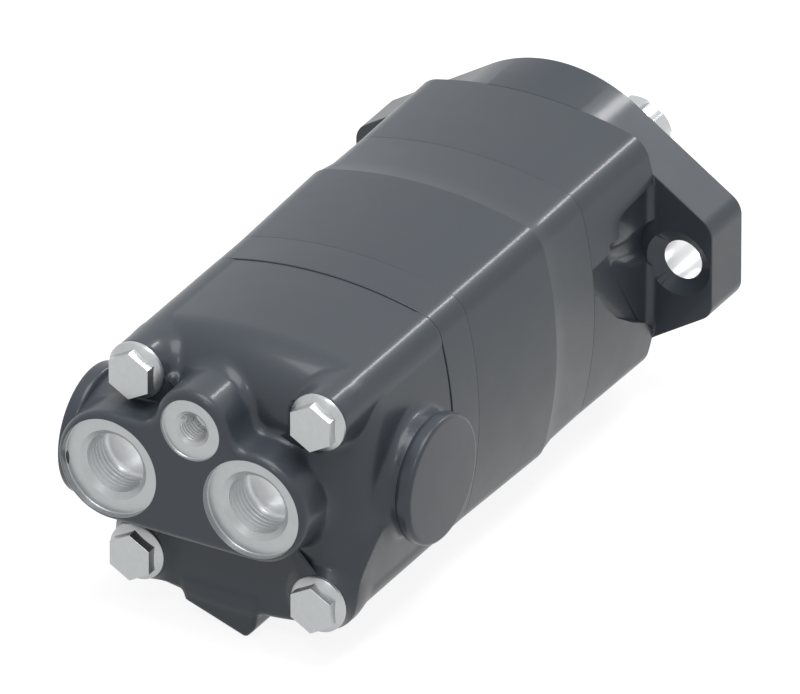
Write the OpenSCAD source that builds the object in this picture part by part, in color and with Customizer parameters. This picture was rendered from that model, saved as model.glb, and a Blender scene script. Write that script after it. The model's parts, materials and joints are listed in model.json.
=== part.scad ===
// Orbital hydraulic motor: two-bolt flange, splined shaft, geroler gear set, disc valve, rear ports.
// The drive axis is Y, the mounting face of the flange lies in the XZ plane and the shaft points to +Y.
// Lengths called stations are measured from the mounting face back towards the rear ports.

/* [Mounting flange] */
// Thickness of the mounting flange
flange_t = 19.5; // [16:0.5:24]
// Distance between the centres of the two mounting holes
mount_spacing = 106.4; // [104:0.1:109]
// Diameter of the mounting holes
mount_hole_d = 13.6; // [11:0.1:14.5]
// Diameter of the dished recess behind each mounting hole
mount_dish_d = 22.8; // [19:0.1:24]
// Depth of that dished recess
mount_dish_h = 3.2; // [1:0.1:5]
// Reach of each ear of the flange past the centre of its mounting hole
ear_reach = 12.2; // [11.5:0.1:15]
// Radius of the round middle of the flange
flange_mid_r = 49; // [47:0.1:52]
// Radius of the end corners of the flange
flange_corner_r = 7; // [4:0.5:9]
// Height of the centre of an end corner
flange_corner_z = 12; // [9:0.5:13]
// Diameter of the locating pilot
pilot_d = 82.55; // [78:0.01:86]
// Height of the locating pilot
pilot_h = 6.3; // [5:0.1:9]

/* [Body stack] */
// Length of the bearing housing behind the flange
bearing_housing_l = 41.6; // [41:0.1:50]
// Thickness of the wear plate
wear_plate_t = 27; // [20:0.1:34]
// Length of the geroler ring, which sets the displacement
gear_set_l = 47.3; // [44:0.1:60]
// Thickness of the valve plate
valve_plate_t = 16; // [12:0.1:20]
// Length of the valve housing up to its flat rear face
valve_housing_l = 58.6; // [56:0.1:70]
// Distance from the axis to the crown of each bulged side
crown_r = 46.4; // [45.6:0.1:48]
// Radius of curvature of the bulged sides
bulge_r = 140; // [125:1:200]
// Radius of the rounded corners, each centred on a tie bolt
corner_r = 9.6; // [9:0.1:11]
// Spacing of the tie bolts, which stand on a square
tie_spacing = 65.9; // [65:0.1:68]
// Growth of the geroler ring's outline from its rear to its front end
ring_draft = 1.2; // [0:0.1:2]
// Extra size of the valve plate and of the rear end of the geroler ring
plate_proud = 0.3; // [0:0.05:1]
// Length of the bevel at the rear of the wear plate
wear_bevel_l = 9; // [4:0.5:12]
// Growth of the bearing housing's outline towards the flange
housing_draft = 0.5; // [0:0.1:1]

/* [Flange pockets] */
// Half height of the bolt pocket next to the flange
pocket_half_h = 27.5; // [24:0.5:29]
// Length of the high stage of the bolt pocket
pocket_l = 21; // [17:0.5:23]
// Height of the roof of the low stage above the axis
pocket_roof = 17; // [14:0.5:19]
// Distance from the motor's axis to the floor of the bolt pocket
pocket_floor = 42.2; // [41.5:0.1:44]
// Radius of the two scallops that clear a wrench in the pocket floor
scallop_r = 9.5; // [7:0.5:11]

/* [Tie bolts] */
// Shank diameter of the tie bolts
tie_d = 9.53; // [8:0.01:10]
// Clearance hole diameter for the tie bolts
tie_hole_d = 10.2; // [9.9:0.1:10.6]
// Size across the flats of the bolt heads
tie_af = 14.29; // [13:0.01:15]
// Height of the bolt heads from flange rim to front face
tie_head_h = 6.1; // [5:0.1:8]
// Diameter of the flange under the bolt heads
tie_flange_d = 19.5; // [17:0.1:19.6]
// Thickness of the flange under the bolt heads at its rim
tie_flange_t = 1.6; // [1:0.1:2]
// Length of the tie bolts' thread in the bearing housing
tie_thread_l = 26; // [20:1:32]
// Height of the bolt bosses above the flat rear face
tie_boss_h = 2; // [0.5:0.1:4]

/* [Valve housing] */
// Radius of the roll-over between the outer walls and the flat rear face
roll_r = 20; // [12:1:22]
// Height of the port boss above the flat rear face
port_boss_h = 15.1; // [10:0.1:22]
// Radius of the port boss round each main port
port_lobe_r = 19.2; // [18.5:0.1:21]
// Radius of the port boss round the drain port
drain_lobe_r = 13.4; // [12.5:0.1:15]
// Radius of the concave blends between the lobes of the port boss
lobe_blend_r = 6; // [3:0.5:9]
// Edge rounding of the port boss
port_edge_r = 3; // [1:0.5:4]
// Distance between the centres of the two main ports
port_spacing = 51.6; // [50:0.1:53]
// Sideways place of the middle between the main ports
port_mid_x = -10.3; // [-11:0.1:-9.5]
// Height of the main ports above the axis
port_z = 2.3; // [0:0.1:3]
// Sideways place of the drain port
drain_x = -6.5; // [-8:0.1:-5]
// Height of the drain port above the axis
drain_z = 24.6; // [23.5:0.1:26]
// Spotface diameter of the main ports
port_spot_d = 34.5; // [30:0.1:35]
// Diameter of the sealing chamfer of the main ports
port_chamfer_d = 24.4; // [22:0.1:26]
// Thread core diameter of the main ports
port_core_d = 20.5; // [18:0.1:21.5]
// Spotface diameter of the drain port
drain_spot_d = 21.3; // [18:0.1:22]
// Diameter of the sealing chamfer of the drain port
drain_chamfer_d = 12.4; // [11:0.1:14]
// Thread core diameter of the drain port
drain_core_d = 9.9; // [8:0.1:10.8]
// Depth of the main ports' spotfaces
port_spot_depth = 2.6; // [0.5:0.1:3]
// Depth of the drain port's spotface
drain_spot_depth = 1.2; // [0.5:0.1:3]
// Depth of the main ports' thread
port_depth = 16; // [13:0.5:22]
// Depth of the drain port's thread
drain_depth = 12; // [9:0.5:16]
// Radius of the round boss on the side wall
side_boss_r = 21.6; // [19:0.1:23]
// Distance from the axis to the flat face of the side boss
side_boss_reach = 56.7; // [54:0.1:60]
// Distance of the front side boss from the front of the valve housing
side_boss_s = 24; // [23:0.5:30]
// Distance of the rear side boss, on the other wall, from the front of the valve housing
rear_boss_s = 49.7; // [47:0.1:52]
// Length of the foot lug under the rear face
lug_l = 36; // [20:1:50]

/* [Output shaft] */
// Outer diameter of the six-tooth shaft spline
spline_d = 25.2; // [24:0.1:26]
// Root diameter of the shaft spline
spline_root_d = 21.6; // [20:0.1:22.5]
// Width of each shaft spline tooth
spline_tooth_w = 6.27; // [5:0.01:7]
// Length of the shaft spline
spline_l = 33; // [25:0.5:36]
// Reach of the shaft past the mounting face
shaft_reach = 50.3; // [48:0.1:60]
// Diameter of the shaft where the seal runs
seal_journal_d = 32; // [30:0.5:33]

/* [Bearings] */
// Bore diameter of the front tapered bearing
front_bore_d = 35; // [34:0.5:37]
// Outer diameter of the front tapered bearing
front_od = 62; // [60:0.5:66]
// Bore diameter of the rear tapered bearing
rear_bore_d = 45; // [43:0.5:46]
// Outer diameter of the rear tapered bearing
rear_od = 73; // [70:0.5:76]
// Width of both bearings
bearing_w = 17; // [15:0.5:18]
// Number of rollers in the front bearing
front_rollers = 15; // [12:1:16]
// Number of rollers in the rear bearing
rear_rollers = 19; // [15:1:20]

/* [Gear set] */
// Eccentricity of the star, the distance by which it orbits
star_offset = 3; // [2.6:0.1:3.2]
// Radius of the circle on which the geroler rollers stand
roller_circle_r = 33.5; // [33:0.1:34]
// Radius of the geroler rollers
geroler_r = 6; // [5.6:0.1:6.2]
// Clearance between the star and the rollers
star_clearance = 0.08; // [0.06:0.01:0.15]
// Points for each lobe of the star
lobe_points = 24; // [16:1:36]

/* [Drives and valve] */
// Tip diameter of the main drive's crowned splines
main_spline_d = 32; // [30:0.5:33]
// Tip diameter of the valve drive's crowned splines
valve_spline_d = 21.6; // [20:0.2:22]
// Length of the main drive's splines
main_spline_l = 15; // [12:0.5:16]
// Length of the valve drive's splines
valve_spline_l = 12; // [10:0.5:13]
// Tooth height of the crowned splines
drive_tooth_h = 2.6; // [2:0.1:3]
// Number of teeth on every drive spline
drive_teeth = 12; // [10:1:14]
// Diameter of the disc valve
disc_d = 68; // [64:0.5:70]
// Thickness of the disc valve without its hub
disc_t = 12; // [9:0.5:14]
// Length of the disc valve with its hub
disc_hub_l = 20; // [18:0.5:22]

/* [Hidden] */
$fn = 72;
eps = 0.01;
face_gap = 0.03;

// Stations of the joints between the sections
s_body = flange_t;
s_wear = s_body + bearing_housing_l;
s_ring = s_wear + wear_plate_t;
s_plate = s_ring + gear_set_l;
s_valve = s_plate + valve_plate_t;
s_rear = s_valve + valve_housing_l;
s_port = s_rear + port_boss_h;
s_bolt = s_rear + tie_boss_h;
tie_half = tie_spacing / 2;
flange_w = mount_spacing + 2 * ear_reach;

// Colours as the photograph shows them
paint = [0.27, 0.29, 0.32];
steel = [0.74, 0.75, 0.76];
bearing_steel = [0.62, 0.64, 0.66];
iron = [0.45, 0.46, 0.48];
rubber = [0.10, 0.10, 0.11];
brass = [0.75, 0.60, 0.32];

// Turns the building frame, whose z is the station, into the part's frame
module in_motor() {
    rotate([90, 0, 0]) children();
}

// Places children at the four tie bolts
module at_ties() {
    for (x = [-tie_half, tie_half], y = [-tie_half, tie_half]) translate([x, y, 0]) children();
}

// One bulged side of the body, as a big cylinder or cone
module side_cylinder(turn, r1, r2, l) {
    rotate([0, 0, turn]) translate([crown_r - bulge_r, 0, 0]) cylinder(h = l, r1 = r1, r2 = r2, $fn = 360);
}

// Length of the body's rounded square section; the outline grows by g1 at its front and g2 at its rear
module body_core(l, g1 = 0, g2 = 0) {
    cut = (2 * tie_half + corner_r) * sqrt(2);
    intersection() {
        side_cylinder(0, bulge_r + g1, bulge_r + g2, l);
        side_cylinder(90, bulge_r + g1, bulge_r + g2, l);
        side_cylinder(180, bulge_r + g1, bulge_r + g2, l);
        side_cylinder(270, bulge_r + g1, bulge_r + g2, l);
        rotate([0, 0, 45]) translate([-cut / 2, -cut / 2, 0]) cube([cut, cut, l]);
    }
}

module body_section(s, l, g1 = 0, g2 = 0) {
    translate([0, 0, s]) {
        body_core(l, g1, g2);
        at_ties() cylinder(h = l, r1 = corner_r + g1, r2 = corner_r + g2);
    }
}

// Clearance holes for the tie bolts between two stations
module tie_holes(s1, s2) {
    at_ties() translate([0, 0, s1]) cylinder(h = s2 - s1, d = tie_hole_d);
}

// Groove or ring of the section seals, on the face at station s and opening towards it
seal_r = 40.5;
seal_w = 1.5;
seal_h = 1.4;
module seal_ring(s, h, play = 0) {
    translate([0, 0, s]) rotate_extrude($fn = 120) translate([seal_r - seal_w / 2 - play, 0])
        square([seal_w + 2 * play, h]);
}

// Outline of the mounting flange: a round middle and two tapered ears with rounded corners
module flange_outline() {
    ear = [flange_w / 2 - flange_corner_r, flange_corner_z];
    turn = atan2(ear[1], ear[0]) + acos((flange_mid_r - flange_corner_r) / norm(ear));
    n = [cos(turn), sin(turn)];
    hub = flange_mid_r * n;
    tip = ear + flange_corner_r * n;
    end = [flange_w / 2, flange_corner_z];
    circle(flange_mid_r, $fn = 180);
    for (side = [0, 180]) rotate([0, 0, side]) {
        polygon([[0, 0], hub, tip, ear, end, [end[0], -end[1]], [ear[0], -ear[1]], [tip[0], -tip[1]],
            [hub[0], -hub[1]]]);
        for (m = [-1, 1]) translate([ear[0], m * ear[1]]) circle(flange_corner_r, $fn = 60);
    }
}

// One bolt pocket beside the flange, open to the side and at its low end to the wear plate's face
pocket_taper = 2;
module bolt_pocket() {
    a = pocket_l;
    b = bearing_housing_l;
    h = pocket_half_h;
    out = flange_w / 2;
    translate([pocket_floor, 0, s_body]) rotate([0, 90, 0]) linear_extrude(out - pocket_floor)
        polygon([[0, h], [-a, h - pocket_taper], [-a - 3, h - 3 * pocket_taper], [-a - 3, pocket_roof + 1],
            [-b - 1, pocket_roof - 1], [-b - 1, 0.22 * h], [-0.94 * b, 0.21 * h], [-0.84 * b, -0.03 * h], [-0.66 * b, -0.3 * h],
            [-0.4 * b, -0.56 * h], [-0.17 * b, -0.76 * h], [0, -h]]);
    for (m = [-1, 1]) translate([mount_spacing / 2 - 3.2, m * scallop_r * 0.8, s_body])
        cylinder(h = pocket_l * 1.3, r1 = scallop_r, r2 = scallop_r * 0.45, $fn = 48);
}

// Interior of the bearing housing
seal_od = 48;
seal_w_ax = 8;
dust_od = 42;
dust_w = 3;
lip_play = 2;
front_s = 11.5;
rear_s = front_s + bearing_w + 9;
module bearing_housing() {
    color(paint) in_motor() difference() {
        union() {
            linear_extrude(flange_t) flange_outline();
            translate([0, 0, -pilot_h]) cylinder(h = pilot_h + 1, d = pilot_d, $fn = 180);
            difference() {
                body_section(s_body - 4, bearing_housing_l + 4, housing_draft, -0.15);
                bolt_pocket();
                mirror([1, 0, 0]) bolt_pocket();
                translate([0, 0, s_body - 5]) difference() {
                    cylinder(h = 5, r = 2 * flange_mid_r);
                    cylinder(h = 5, r = flange_mid_r - 1);
                }
            }
        }
        for (side = [-1, 1]) translate([side * mount_spacing / 2, 0, 0]) {
            translate([0, 0, -eps]) cylinder(h = flange_t + 1, d = mount_hole_d);
            translate([0, 0, flange_t - mount_dish_h])
                cylinder(h = mount_dish_h + eps, d1 = mount_hole_d, d2 = mount_dish_d);
        }
        translate([0, 0, -pilot_h - eps]) cylinder(h = dust_w + eps, d = dust_od);
        translate([0, 0, -pilot_h]) cylinder(h = front_s + pilot_h, d = seal_journal_d + 2 * lip_play);
        cylinder(h = front_s + 1, d = seal_od);
        translate([0, 0, front_s]) cylinder(h = s_wear, d = front_od);
        translate([0, 0, rear_s]) cylinder(h = s_wear, d = rear_od);
        tie_thread_bores();
    }
}

// Blind threaded bores for the tie bolts in the bearing housing
thread_play = 0.05;
module tie_thread_bores() {
    at_ties() translate([0, 0, s_wear - tie_thread_l - 3])
        cylinder(h = tie_thread_l + 4, d = tie_d + thread_play);
}

module wear_plate() {
    color(paint) in_motor() difference() {
        union() {
            body_section(s_wear, wear_plate_t - wear_bevel_l, -0.15, 0);
            body_section(s_ring - wear_bevel_l, wear_bevel_l, 0, ring_draft + plate_proud - 0.2);
        }
        translate([0, 0, s_wear - eps]) cylinder(h = wear_plate_t + 1, d = main_spline_d + 4);
        tie_holes(s_wear - 1, s_ring + 1);
        seal_ring(s_wear - eps, seal_h + eps, 0.1);
        seal_ring(s_ring - seal_h, seal_h + eps, 0.1);
    }
}

// Angle of roller k round the motor's axis
function roller_angle(k) = 90 + 360 / 7 * k;
module at_roller(k) {
    rotate([0, 0, roller_angle(k)]) translate([roller_circle_r, 0, 0]) children();
}

roller_play = 0.04;
ring_bore_r = roller_circle_r - geroler_r + 2 * star_offset + 0.35;
module geroler_ring() {
    color(paint) in_motor() difference() {
        body_section(s_ring, gear_set_l, ring_draft + plate_proud, plate_proud);
        translate([0, 0, s_ring - eps]) cylinder(h = gear_set_l + 1, r = ring_bore_r, $fn = 180);
        for (k = [0:6]) at_roller(k) translate([0, 0, s_ring - 1])
            cylinder(h = gear_set_l + 2, r = geroler_r + roller_play);
        tie_holes(s_ring - 1, s_plate + 1);
    }
}

// A geroler roller, free to turn in its pocket
module geroler_roller(k) {
    color(bearing_steel) in_motor() at_roller(k) translate([0, 0, s_ring + face_gap])
        cylinder(h = gear_set_l - 2 * face_gap, r = geroler_r);
}
module roller_1() { geroler_roller(0); }
module roller_2() { geroler_roller(1); }
module roller_3() { geroler_roller(2); }
module roller_4() { geroler_roller(3); }
module roller_5() { geroler_roller(4); }
module roller_6() { geroler_roller(5); }
module roller_7() { geroler_roller(6); }

// Path of a roller's centre as the star sees it, its direction, and the star's flank beside it
function path(t) = roller_circle_r * [cos(t), sin(t)] - star_offset * [cos(7 * t), sin(7 * t)];
function path_way(t) = roller_circle_r * [-sin(t), cos(t)] + 7 * star_offset * [sin(7 * t), -cos(7 * t)];
function flank(t) = let (w = path_way(t)) path(t) - (geroler_r + star_clearance) * [w[1], -w[0]] / norm(w);
// Points stand closer in the star's valleys, where the flank bends most, by this share
valley_share = 0.6;
star_steps = 6 * lobe_points;
star_outline = [for (i = [0:star_steps - 1]) let (u = 360 * i / star_steps)
    flank(u - valley_share * sin(6 * u) * 180 / PI / 6)];

// Bore with internal spline slots, between z = 0 and z = l, for drive teeth of tip diameter d
spline_play = 0.45;
function slot_w(d) = PI * (d - drive_tooth_h) / drive_teeth * 0.60;
module spline_bore(d, l) {
    cylinder(h = l, d = d - 2 * drive_tooth_h + 2 * spline_play);
    for (i = [0:drive_teeth - 1]) rotate([0, 0, 360 / drive_teeth * i])
        translate([0, -slot_w(d) / 2, 0]) cube([d / 2 + spline_play, slot_w(d), l]);
}

// The star carries both drives: a wide spline at the front and a narrow one at the rear
s_main_star = s_ring + 0.34 * gear_set_l;
s_spacer = s_main_star + main_spline_l / 2 + 0.9;
spacer_t = 2.6;
s_valve_star = s_spacer + spacer_t + 0.9 + valve_spline_l / 2;
module star() {
    color(bearing_steel) in_motor() translate([0, star_offset, s_ring + face_gap]) rotate([0, 0, 90])
        difference() {
            linear_extrude(gear_set_l - 2 * face_gap) polygon(star_outline);
            translate([0, 0, -eps]) spline_bore(main_spline_d, s_spacer + spacer_t + 0.4 - s_ring);
            translate([0, 0, s_spacer - s_ring]) spline_bore(valve_spline_d, s_plate - s_spacer + 1);
        }
}

// Barrel-shaped spline head of a drive, centred on the origin along z, with crowned teeth
module crowned_spline(d, l) {
    root = d / 2 - drive_tooth_h;
    barrel_r = 5 * l;
    sag = barrel_r - sqrt(barrel_r * barrel_r - l * l / 4);
    tooth_w = slot_w(d) * 0.72;
    crown = 3.2 * l;
    module barrel(r) {
        rotate_extrude() intersection() {
            translate([r - barrel_r, 0]) circle(barrel_r, $fn = 360);
            translate([0, -l / 2]) square([r + 1, l]);
        }
    }
    barrel(root);
    intersection() {
        barrel(d / 2);
        union() for (i = [0:drive_teeth - 1]) rotate([0, 0, 360 / drive_teeth * i])
            translate([root - 1, 0, 0]) rotate([0, 90, 0]) linear_extrude(drive_tooth_h + 3) intersection() {
                translate([0, tooth_w / 2 - crown]) circle(crown, $fn = 240);
                translate([0, crown - tooth_w / 2]) circle(crown, $fn = 240);
                square([l, 2 * tooth_w], center = true);
            }
    }
}

// A drive shaft along z, between two crowned splines whose middles are l_axis along the motor apart
module drive_shaft(d, l, shank_d, l_axis) {
    reach = norm([l_axis, star_offset]);
    crowned_spline(d, l);
    translate([0, 0, reach]) crowned_spline(d, l);
    cylinder(h = reach, d = shank_d);
}

s_main_shaft = rear_s + 10.5;
module main_drive() {
    l_axis = s_main_star - s_main_shaft;
    color(steel) in_motor() translate([0, 0, s_main_shaft]) rotate([-atan2(star_offset, l_axis), 0, 0])
        drive_shaft(main_spline_d, main_spline_l, 18, l_axis);
}

module drive_spacer() {
    color(steel) in_motor() translate([0, star_offset, s_spacer])
        cylinder(h = spacer_t, d = main_spline_d - 2 * drive_tooth_h + 2 * spline_play - 0.4);
}

s_valve_disc = s_valve + 11.5;
module valve_drive() {
    l_axis = s_valve_disc - s_valve_star;
    color(steel) in_motor() translate([0, 0, s_valve_disc]) rotate([180 + atan2(star_offset, l_axis), 0, 0])
        drive_shaft(valve_spline_d, valve_spline_l, 11, l_axis);
}

// Seven timing holes in the valve plate feed the pockets between the rollers
timing_r = 28;
timing_d = 8;
module valve_plate() {
    color(paint) in_motor() difference() {
        body_section(s_plate, valve_plate_t, plate_proud, plate_proud + 0.2);
        translate([0, 0, s_plate - eps]) cylinder(h = valve_plate_t + 1, d = valve_spline_d + 4);
        for (k = [0:6]) rotate([0, 0, roller_angle(k) + 180 / 7]) translate([timing_r, 0, s_plate - 1])
            cylinder(h = valve_plate_t + 2, d = timing_d);
        tie_holes(s_plate - 1, s_valve + 1);
        seal_ring(s_plate - eps, seal_h + eps, 0.1);
        seal_ring(s_valve - seal_h, seal_h + eps, 0.1);
    }
}

module disc_valve() {
    color(iron) in_motor() translate([0, 0, s_valve + face_gap]) difference() {
        union() {
            cylinder(h = disc_t, d = disc_d, $fn = 120);
            cylinder(h = disc_hub_l, d = valve_spline_d + 7);
        }
        translate([0, 0, -1]) spline_bore(valve_spline_d, disc_hub_l + 2);
        for (k = [0:5]) {
            rotate([0, 0, 60 * k]) translate([timing_r, 0, -1]) cylinder(h = 7, d = timing_d);
            rotate([0, 0, 60 * k]) translate([timing_r, -timing_d / 2, -1]) cube([timing_r, timing_d, 7]);
            rotate([0, 0, 60 * k + 30]) translate([timing_r, 0, -1])
                cylinder(h = disc_t + 2, d = timing_d - 1);
        }
    }
}

// The balance ring presses on the back of the disc valve
cavity_r = disc_d / 2 + 2.6;
s_balance = s_valve + face_gap + disc_t + face_gap;
balance_t = 13;
balance_bore_r = valve_spline_d / 2 + 5;
balance_step_r = 28;
balance_step_h = 5;
seal_cord = 2.2;
module balance_ring() {
    color(iron) in_motor() translate([0, 0, s_balance]) difference() {
        union() {
            cylinder(h = balance_t - balance_step_h, r = cavity_r - 0.4, $fn = 120);
            cylinder(h = balance_t, r = balance_step_r);
        }
        translate([0, 0, -1]) cylinder(h = balance_t + 2, r = balance_bore_r);
        for (k = [0:5]) rotate([0, 0, 60 * k + 30]) translate([timing_r - 4, 0, -1])
            cylinder(h = balance_t + 2, d = timing_d - 1);
        for (a = spring_angles) rotate([0, 0, a]) translate([spring_circle_r, 0, balance_t - spring_seat_h])
            cylinder(h = spring_seat_h + 1, d = spring_d + 0.8);
        for (a = pin_angles) rotate([0, 0, a]) translate([pin_circle_r, 0, balance_t - pin_seat_h])
            cylinder(h = pin_seat_h + 1, d = pin_d + 0.1);
    }
}

module balance_outer_seal() {
    s = s_balance + balance_t - balance_step_h + seal_cord / 2;
    color(rubber) in_motor() translate([0, 0, s]) rotate_extrude()
        translate([balance_step_r + seal_cord / 2 + 0.05, 0]) circle(d = seal_cord, $fn = 24);
}

module balance_inner_seal() {
    color(rubber) in_motor() translate([0, 0, s_balance + balance_t + seal_cord / 2]) rotate_extrude()
        translate([balance_bore_r + seal_cord / 2 + 0.6, 0]) circle(d = seal_cord, $fn = 24);
}

// Small coil springs hold the balance ring against the disc valve
spring_angles = [0, 120, 240];
spring_d = 4.4;
spring_wire = 0.8;
spring_turns = 6;
spring_seat_h = 7;
spring_l = spring_seat_h + seal_cord - 0.1;
spring_circle_r = balance_bore_r + 0.6 + seal_cord + spring_d / 2 + 0.4;
spring_steps = 12;
spring_sides = 6;
function coil_point(i, j) =
    let (a = 360 * i / spring_steps, b = 360 * j / spring_sides,
        r = (spring_d - spring_wire) / 2 + spring_wire / 2 * cos(b))
    [r * cos(a), r * sin(a), spring_wire / 2 + (spring_l - spring_wire) * i / (spring_turns * spring_steps)
        + spring_wire / 2 * sin(b)];
module coil_spring() {
    n = spring_turns * spring_steps;
    m = spring_sides;
    polyhedron(
        points = [for (i = [0:n], j = [0:m - 1]) coil_point(i, j)],
        faces = concat(
            [[for (j = [0:m - 1]) j]],
            [for (i = [0:n - 1], j = [0:m - 1])
                [i * m + j, (i + 1) * m + j, (i + 1) * m + (j + 1) % m, i * m + (j + 1) % m]],
            [[for (j = [0:m - 1]) n * m + m - 1 - j]]),
        convexity = 10);
}
module balance_springs() {
    color(steel) in_motor() for (a = spring_angles) rotate([0, 0, a])
        translate([spring_circle_r, 0, s_balance + balance_t - spring_seat_h]) coil_spring();
}

// Two dowel pins keep the balance ring from turning in the valve housing
pin_angles = [60, 180];
pin_circle_r = 23;
pin_d = 3;
pin_seat_h = 8;
pin_reach = 3;
module balance_pins() {
    color(steel) in_motor() for (a = pin_angles) rotate([0, 0, a])
        translate([pin_circle_r, 0, s_balance + balance_t - pin_seat_h])
            cylinder(h = pin_seat_h + seal_cord + pin_reach, d = pin_d);
}

// A lobe of the port boss with a rounded front edge, from station s to the port face
module port_lobe(p, r, s) {
    top = s_port - port_edge_r;
    translate([p[0], p[1], 0]) rotate_extrude() {
        translate([0, s]) square([r, top - s]);
        translate([0, top]) square([r - port_edge_r, port_edge_r]);
        intersection() {
            translate([r - port_edge_r, top]) circle(port_edge_r, $fn = 48);
            translate([0, top]) square([r, port_edge_r]);
        }
    }
}

// Concave blend between two lobes: the triangle between their centres and the blend's, less a flared disc
module lobe_blend(c1, r1, c2, r2, side, s) {
    f = lobe_blend_r;
    d = norm(c2 - c1);
    a = r1 + f - 0.08;
    b = r2 + f - 0.08;
    along = (a * a - b * b + d * d) / (2 * d);
    up = sqrt(a * a - along * along);
    u = (c2 - c1) / d;
    c = c1 + along * u + side * up * [-u[1], u[0]];
    top = s_port - port_edge_r;
    difference() {
        translate([0, 0, s]) linear_extrude(s_port - s) polygon([c1, c, c2]);
        translate([c[0], c[1], 0]) rotate_extrude() difference() {
            translate([0, s - 1]) square([f + port_edge_r, s_port - s + 2]);
            translate([f, s - 2]) square([port_edge_r + 1, top - s + 2]);
            translate([f + port_edge_r, top]) circle(port_edge_r, $fn = 48);
        }
    }
}

// The raised boss round the three rear ports
left_port = [port_mid_x - port_spacing / 2, port_z];
right_port = [port_mid_x + port_spacing / 2, port_z];
drain_port = [drain_x, drain_z];
module port_boss() {
    s = s_rear - 12;
    low = port_z - port_lobe_r;
    round_h = port_edge_r;
    for (p = [left_port, right_port]) port_lobe(p, port_lobe_r, s);
    port_lobe(drain_port, drain_lobe_r, s);
    lobe_blend(left_port, port_lobe_r, drain_port, drain_lobe_r, 1, s);
    lobe_blend(drain_port, drain_lobe_r, right_port, port_lobe_r, 1, s);
    translate([0, 0, s]) linear_extrude(s_port - s) polygon([left_port, drain_port, right_port]);
    translate([left_port[0], 0, 0]) {
        translate([0, low + round_h, s]) cube([port_spacing, port_lobe_r - round_h, s_port - s]);
        translate([0, low, s]) cube([port_spacing, port_lobe_r, s_port - round_h - s]);
        translate([0, low + round_h, s_port - round_h]) rotate([0, 90, 0])
            cylinder(h = port_spacing, r = round_h, $fn = 48);
    }
}

// Threaded port with spotface and sealing chamfer, cut down from the port face
chamfer_slope = 0.8;
module port_cut(p, spot_d, spot_depth, chamfer_d, core_d, depth) {
    chamfer_h = (chamfer_d - core_d) / 2 * chamfer_slope;
    translate([p[0], p[1], s_port]) mirror([0, 0, 1]) {
        translate([0, 0, -1]) cylinder(h = spot_depth + 1, d = spot_d);
        cylinder(h = depth, d = core_d);
        translate([0, 0, spot_depth]) cylinder(h = chamfer_h, d1 = chamfer_d, d2 = core_d);
    }
}

// Outer walls of the valve housing, rolled over towards the rear at the top and at both sides
module rolled_core() {
    reach = 2 * crown_r;
    l = valve_housing_l;
    module rolled_profile(half) {
        square([half, l - roll_r]);
        square([half - roll_r, l]);
        translate([half - roll_r, l - roll_r]) circle(roll_r, $fn = 120);
    }
    translate([0, 0, s_valve]) intersection() {
        body_core(l);
        translate([-reach, 0, 0]) rotate([90, 0, 90]) linear_extrude(2 * reach) {
            rolled_profile(crown_r);
            translate([-reach, 0]) square([reach, l]);
        }
        translate([0, reach, 0]) rotate([90, 0, 0]) linear_extrude(2 * reach) {
            rolled_profile(crown_r);
            mirror([1, 0]) rolled_profile(crown_r);
        }
    }
}

// Round boss on a side wall, with a neck that flares into the wall
module side_boss(s) {
    rim = 2;
    neck_r = side_boss_r - 1.8;
    flare = 4;
    base = crown_r - 6;
    rim_l = 6.5;
    top = side_boss_reach;
    translate([0, 0, s]) rotate([0, 90, 0]) rotate_extrude() {
        translate([0, base]) square([neck_r, top - base - 1]);
        translate([0, base]) difference() {
            square([neck_r + flare, 6 + flare]);
            translate([neck_r + flare, 6 + flare]) circle(flare, $fn = 48);
        }
        polygon([[0, top - rim_l], [neck_r - 0.5, top - rim_l], [side_boss_r, top - rim_l + 2.2],
            [side_boss_r, top - rim], [side_boss_r - rim * 0.3, top - rim * 0.3], [side_boss_r - rim, top],
            [0, top]]);
    }
}

// Foot lug under the rear face, a slanted wedge with a rounded toe
lug_left = -17.9;
lug_right = 9;
lug_heel_z = -47.7;
lug_toe_x = 5.3;
lug_toe_z = -52.9;
lug_toe_r = 2.5;
lug_root = 6;
module lug() {
    toe = [lug_toe_x, lug_toe_z];
    translate([0, 0, s_rear - lug_l]) linear_extrude(lug_l) {
        polygon([[lug_left, -crown_r + lug_root], [lug_left, lug_heel_z], toe + lug_toe_r * [-0.28, -0.96],
            toe + lug_toe_r * [0.8, -0.28], [lug_right, -crown_r + lug_root]]);
        translate(toe) circle(lug_toe_r, $fn = 32);
    }
}

// Drilled passage from the foot of a port to the cavity, nearer to the axis than the port by the share inset
passage_d = 7;
drain_passage_d = 5;
module passage(p, inset, d, s1, s2) {
    translate([inset * p[0], inset * p[1], s1]) cylinder(h = s2 - s1, d = d);
}

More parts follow.
